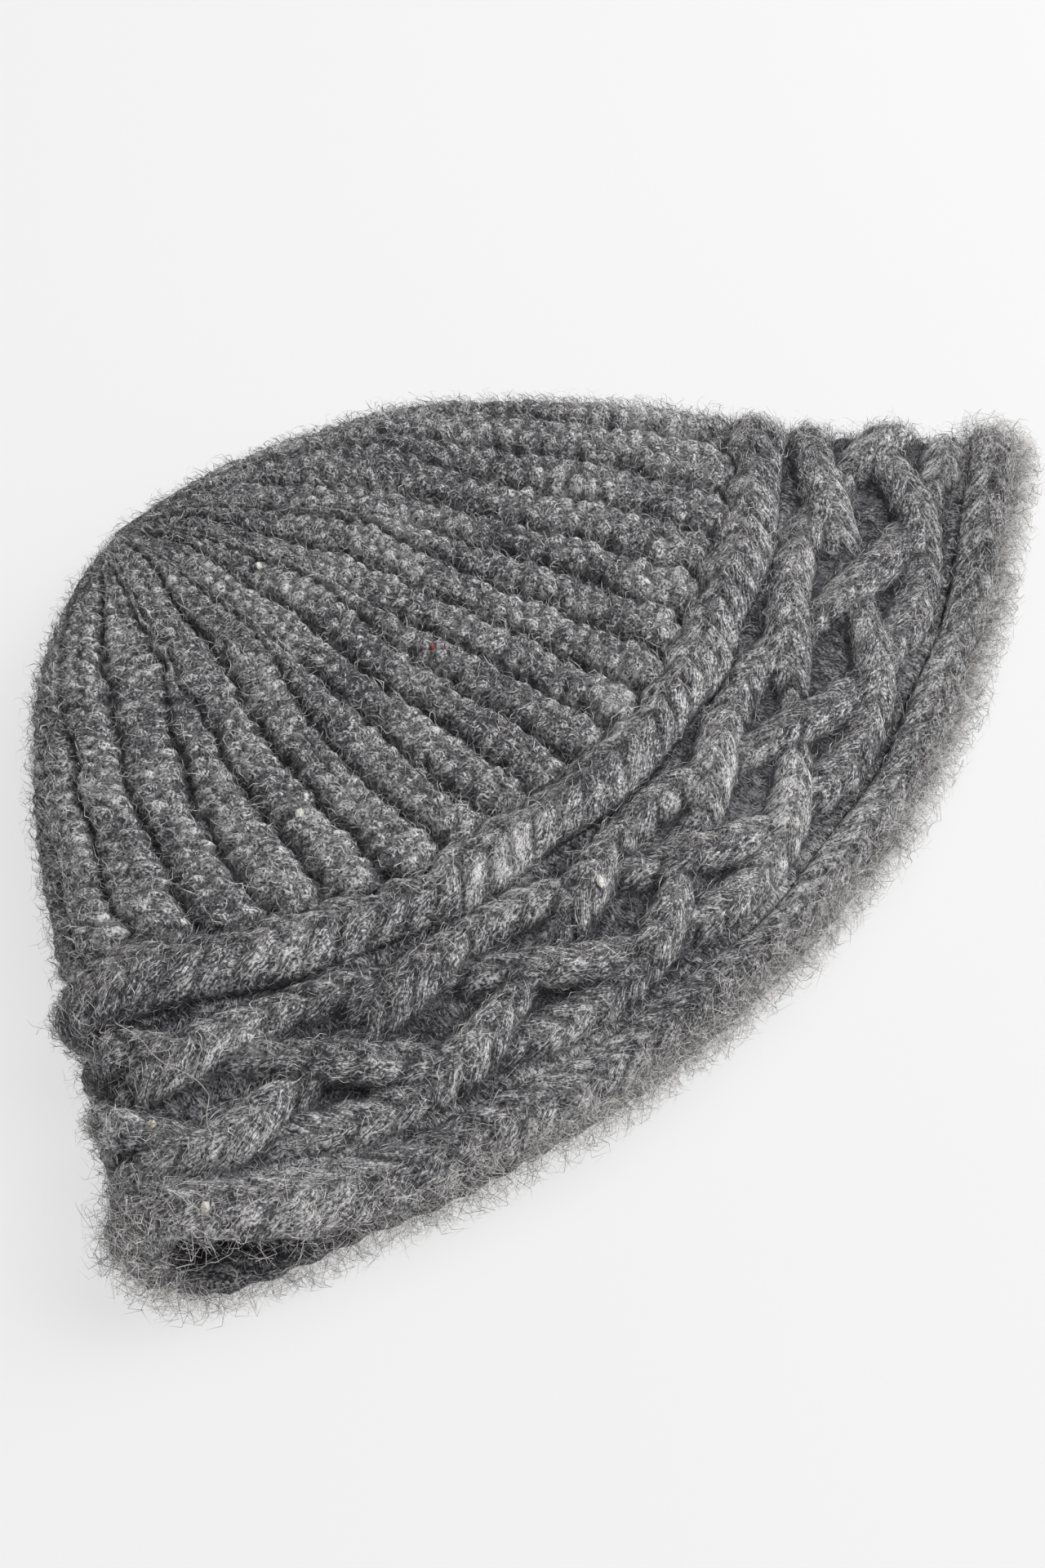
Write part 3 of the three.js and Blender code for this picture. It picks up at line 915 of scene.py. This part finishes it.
class BeanieSizes(bpy.types.PropertyGroup):
    """Sizes of the stitches, in millimetres."""

    ridge_depth: FloatProperty(
        name="Ridge depth", description="Of the valleys between garter ridges", default=3.4)
    purl_depth: FloatProperty(
        name="Purl depth", description="Of the gaps between the bumps of a ridge", default=1.6)
    purl_pitch: FloatProperty(
        name="Purl pitch", description="From one bump of a ridge to the next", default=3.5)
    rope_depth: FloatProperty(
        name="Rope depth", description="From the tops of the strands to the ground", default=5.8)
    rope_width: FloatProperty(name="Rope width", description="Of one strand of the plait", default=9.4)
    rope_lift: FloatProperty(
        name="Rope lift", description="How far strands rise and sink at crossings", default=2.0)
    stitch_depth: FloatProperty(
        name="Stitch depth", description="Of the grooves between stitches", default=1.5)
    leg_angle: FloatProperty(
        name="Leg angle", description="Of the legs of a V stitch", subtype="ANGLE", default=0.7)
    border_depth: FloatProperty(
        name="Border depth", description="Relief of the cord round the crown", default=3.4)
    rim_depth: FloatProperty(
        name="Rim depth", description="Relief of the rim's column of stitches", default=2.4)


class BeanieWool(bpy.types.PropertyGroup):
    """Colours and hair of the wool."""

    dark_hair: FloatVectorProperty(
        name="Dark hair", description="Darkest fibres", subtype="COLOR", default=(0.046, 0.046, 0.058))
    middle_hair: FloatVectorProperty(
        name="Middle hair", description="Most of the fibres", subtype="COLOR", default=(0.25, 0.245, 0.25))
    light_hair: FloatVectorProperty(
        name="Light hair", description="Light fibres", subtype="COLOR", default=(0.92, 0.91, 0.91))
    # The palest fibres' warm tint is partly their own colour and partly painted light, standing in for light
    # shining through the fringe.
    pale_hair: FloatVectorProperty(
        name="Pale hair", description="Palest fibres", subtype="COLOR", default=(0.88, 0.83, 0.78))
    # strength of the painted shade down in the knitting
    valley_shade: FloatProperty(
        name="Valley shade", description="How much darker the wool is down in the knitting", default=0.8)
    nap_density: FloatProperty(name="Nap density", description="Hairs on each square metre", default=1000000)
    nap_seed: IntProperty(name="Nap seed", description="Seed of the hairs' places", default=5)


class BeanieStage(bpy.types.PropertyGroup):
    """Floor, light and camera."""

    floor_grey: FloatProperty(name="Floor", description="Grey of the floor", default=0.26)
    floor_glow: FloatProperty(name="Floor glow", description="Light that the floor gives off", default=0.67)
    lens: FloatProperty(name="Lens", description="Focal length on a 36 mm frame", default=50.6)


def scene_settings():
    """The sizes, the wool and the stage that the scene holds."""
    scene = bpy.context.scene
    return scene.beanie_sizes, scene.beanie_wool, scene.beanie_stage


class BEANIE_OT_crown(bpy.types.Operator):
    """Knit the ridged crown"""

    bl_idname = "beanie.crown"
    bl_label = "Crown"

    def execute(self, context):
        sizes = scene_settings()[0]
        turn, outside, inside = grid_of(*CROWN_GRID)
        inner = back_of_rings(turn, BORDER_END + SEAM, POINT - INNER_TIP, inside, CROWN_WALL)
        shares = np.append(outside, CROWN_LAST_SHARE)
        low = edge_of("crown", turn) + SEAM
        outer = rings_between(turn, low, POINT - TIP, shares, lambda reach: crown_relief(turn, reach, sizes))
        set_painted_shade(outer, wide=8, soft=2.6)
        knit("crown", "crown", inner + outer, closed_at_point=True)
        return {"FINISHED"}


class BEANIE_OT_border(bpy.types.Operator):
    """Knit the cord between crown and band"""

    bl_idname = "beanie.border"
    bl_label = "Border rope"

    def execute(self, context):
        sizes = scene_settings()[0]
        turn, outside, inside = grid_of(*BORDER_GRID)
        low, high = edge_of("border", turn) + SEAM, edge_of("crown", turn) - SEAM
        depths = (sizes.border_depth, BORDER_UPPER_DEPTH)
        rings = rings_between(turn, low, high, outside, lambda reach: cord_relief(
            turn, reach, low, high, depths, sizes, seed=41, groove=0.25, lumpy=1.5))
        set_painted_shade(rings, wide=5)
        knit("border", "border_rope", rings + back_of_rings(turn, low, high, inside, BORDER_WALL))
        return {"FINISHED"}


class BEANIE_OT_band(bpy.types.Operator):
    """Knit the plaited cable band"""

    bl_idname = "beanie.band"
    bl_label = "Cable band"

    def execute(self, context):
        sizes = scene_settings()[0]
        turn, outside, inside = grid_of(*BAND_GRID)
        low, high = edge_of("band", turn) + SEAM, edge_of("border", turn) - SEAM
        rings = rings_between(turn, low, high, outside, lambda reach: plait_relief(turn, reach, sizes))
        set_painted_shade(rings)
        knit("band", "cable_band", rings + back_of_rings(turn, low, high, inside, BAND_WALL))
        return {"FINISHED"}


class BEANIE_OT_rim(bpy.types.Operator):
    """Knit the rim"""

    bl_idname = "beanie.rim"
    bl_label = "Rim"

    def execute(self, context):
        sizes = scene_settings()[0]
        turn, outside, inside = grid_of(*RIM_GRID)
        low, high = edge_of("rim", turn), edge_of("band", turn) - SEAM
        depths = (sizes.rim_depth, RIM_UPPER_DEPTH)
        rings = []
        for share in outside:
            reach = low + share * (high - low)
            depth, *rest = cord_relief(
                turn, reach, low + 0.6, high, depths, sizes, seed=81, groove=0.0, lumpy=0.7)
            rounded = 0.8 * ease(0.2, 0, share)
            depth = np.minimum(depth, sizes.rim_depth + LEAST_RELIEF) + rounded
            rings.append(outside_ring(turn, reach, (depth, *rest)))
        set_painted_shade(rings, wide=4)
        # Near its free edge the rim gets no painted shade, so its rounding there reads as lit rather than as
        # a gap.
        for ring in rings:
            ring["height"] = np.maximum(ring["height"], ease(2.6, 1.0, ring["from_edge"]))
        knit("rim", "rim", rings + back_of_rings(turn, low, high, inside, RIM_WALL, nap=0.8))
        return {"FINISHED"}


class BEANIE_OT_nap(bpy.types.Operator):
    """Brush up the short hairs that cover the knitting"""

    bl_idname = "beanie.nap"
    bl_label = "Nap"

    def execute(self, context):
        strew_kind("nap", hair_material("nap_hair", scene_settings()[1], light_share=0.25))
        return {"FINISHED"}


class BEANIE_OT_halo(bpy.types.Operator):
    """Let a haze of thin hairs and some longer curls stand off the knitting"""

    bl_idname = "beanie.halo"
    bl_label = "Halo"

    def execute(self, context):
        # The haze and halo leave out the darkest hairs: partly the pale fuzz of the wool, partly painted
        # light standing in for light shining through the thin hairs.
        material = hair_material("halo_hair", scene_settings()[1], light_share=0.45, least=0.15)
        strew_kind("haze", material)
        strew_kind("halo", material)
        return {"FINISHED"}


def on_knitting(point):
    """The point of the knitting that is nearest to a point, both in metres."""
    pieces = (bpy.data.objects["knitted_" + base] for base in PIECES)
    found = [np.array(piece.closest_point_on_mesh(Vector(point))[1]) for piece in pieces]
    return min(found, key=lambda place: np.linalg.norm(place - point))


class BEANIE_OT_flecks(bpy.types.Operator):
    """Add the few pale neps and stray hairs that lie on the knitting"""

    bl_idname = "beanie.flecks"
    bl_label = "Flecks"

    def execute(self, context):
        chance = np.random.default_rng(3)
        points, faces, tints = [], [], []
        for turn, reach, length, width, tint in NEPS:
            turn, reach = np.array(turn), np.array(reach)
            out = outward(turn, reach)
            lay = yarn_lay(turn, reach, np.array(NEP_SLANT))
            middle = on_knitting(skin(turn, reach) * MM) + NEP_LIFT * width * MM * out
            axes = np.stack([lay * length, np.cross(out, lay) * width, out * width]) / 2 * MM
            ball = bmesh.new()
            bmesh.ops.create_icosphere(ball, subdivisions=2, radius=1.0)
            first = len(points)
            points += [
                tuple(middle + np.array(corner.co) * chance.uniform(*NEP_ROUGHNESS) @ axes)
                for corner in ball.verts
            ]
            faces += [tuple(first + corner.index for corner in face.verts) for face in ball.faces]
            tints += [tint] * len(ball.verts)
            ball.free()
        for hair in STRAY_HAIRS:
            turn, reach = (smooth_row(np.array(row)) for row in zip(*hair))
            middle = fabric(turn, reach, np.full_like(turn, -STRAY_LIFT)) * MM
            strand, sides = tube(middle, STRAY_RADIUS * MM)
            first = len(points)
            points += strand
            faces += [tuple(first + corner for corner in face) for face in sides]
            tints += [STRAY_TINT] * len(strand)
        mesh = bpy.data.meshes.new("flecks")
        mesh.from_pydata(points, [], faces)
        mesh.attributes.new("tint", "FLOAT", "POINT").data.foreach_set("value", tints)
        mesh.update()
        add_piece("flecks", mesh, None, fleck_material())
        return {"FINISHED"}


def floor_mesh():
    """A round floor that curves up into a backdrop far away."""
    rise = np.linspace(0, math.pi / 2, FLOOR_RINGS)
    rings = [(STAGE_FLAT + STAGE_RISE * math.sin(a), STAGE_RISE * (1 - math.cos(a))) for a in rise]
    angles = [2 * math.pi * corner / FLOOR_CORNERS for corner in range(FLOOR_CORNERS)]
    points = [(0.0, 0.0, 0.0)]
    points += [(wide * math.cos(a), wide * math.sin(a), high) for wide, high in rings for a in angles]
    pairs = [(1 + corner, 1 + (corner + 1) % FLOOR_CORNERS) for corner in range(FLOOR_CORNERS)]
    faces = [(0, here, beside) for here, beside in pairs]
    faces += [
        (row + here, row + here + FLOOR_CORNERS, row + beside + FLOOR_CORNERS, row + beside)
        for row in range(0, FLOOR_CORNERS * (FLOOR_RINGS - 1), FLOOR_CORNERS) for here, beside in pairs
    ]
    mesh = bpy.data.meshes.new("floor")
    mesh.from_pydata(points, [], faces)
    mesh.shade_smooth()
    return mesh


class BEANIE_OT_stage(bpy.types.Operator):
    """Lay the pale floor and set up the studio light and the camera"""

    bl_idname = "beanie.stage"
    bl_label = "Stage"

    def execute(self, context):
        stage = scene_settings()[2]
        scene = context.scene
        scene.view_settings.view_transform = "Standard"
        floor = bpy.data.objects.new("floor", floor_mesh())
        scene.collection.objects.link(floor)
        material, nodes = new_material("floor")
        nodes.surface({
            "Base Color": (*[stage.floor_grey] * 3, 1.0), "Roughness": FLOOR_ROUGHNESS,
            "Emission Color": (1.0, 1.0, 1.0, 1.0), "Emission Strength": stage.floor_glow,
        })
        floor.data.materials.append(material)
        world = bpy.data.worlds.new("studio")
        world.use_nodes = True
        sky = world.node_tree.nodes["Background"].inputs
        sky["Color"].default_value = SKY_COLOUR
        sky["Strength"].default_value = SKY_STRENGTH
        scene.world = world
        for name, place, width, power in LAMPS:
            light = bpy.data.lights.new(name, "AREA")
            light.size = width
            light.energy = power
            lamp = bpy.data.objects.new(name, light)
            lamp.location = place
            lamp.rotation_euler = (-Vector(place)).to_track_quat("-Z", "Y").to_euler()
            scene.collection.objects.link(lamp)
        camera_data = bpy.data.cameras.new("camera")
        camera_data.sensor_width = FRAME_WIDTH
        camera_data.lens = stage.lens
        camera_data.clip_start = NEAREST
        camera = bpy.data.objects.new("camera", camera_data)
        shift = Vector((*ORIGIN, 0.0))
        eye = (Vector(CAMERA_EYE) - shift) * MM
        target = (Vector(CAMERA_TARGET) - shift) * MM
        camera.location = eye
        camera.rotation_euler = (target - eye).to_track_quat("-Z", "Y").to_euler()
        scene.collection.objects.link(camera)
        scene.camera = camera
        return {"FINISHED"}


OPERATORS = (
    BEANIE_OT_stage, BEANIE_OT_crown, BEANIE_OT_border, BEANIE_OT_band, BEANIE_OT_rim,
    BEANIE_OT_nap, BEANIE_OT_halo, BEANIE_OT_flecks,
)
GROUPS = {"beanie_sizes": BeanieSizes, "beanie_wool": BeanieWool, "beanie_stage": BeanieStage}


class BEANIE_PT_panel(bpy.types.Panel):
    """Lists the beanie's pieces, sizes and colours"""

    bl_idname = "BEANIE_PT_panel"
    bl_label = "Beanie"
    bl_space_type = "VIEW_3D"
    bl_region_type = "UI"
    bl_category = "Beanie"

    def draw(self, context):
        for operator in OPERATORS:
            self.layout.operator(operator.bl_idname)
        for group in scene_settings():
            for name in group.bl_rna.properties.keys():
                if name not in {"rna_type", "name"}:
                    self.layout.prop(group, name)


def classes():
    return [*GROUPS.values(), *OPERATORS, BEANIE_PT_panel]


def register():
    for part in classes():
        bpy.utils.register_class(part)
    for name, group in GROUPS.items():
        setattr(bpy.types.Scene, name, PointerProperty(type=group))


def unregister():
    for name in GROUPS:
        delattr(bpy.types.Scene, name)
    for part in reversed(classes()):
        bpy.utils.unregister_class(part)


def main():
    register()
    bpy.ops.beanie.stage()
    bpy.ops.beanie.crown()
    bpy.ops.beanie.border()
    bpy.ops.beanie.band()
    bpy.ops.beanie.rim()
    bpy.ops.beanie.nap()
    bpy.ops.beanie.halo()
    bpy.ops.beanie.flecks()


if __name__ == "__main__":
    main()
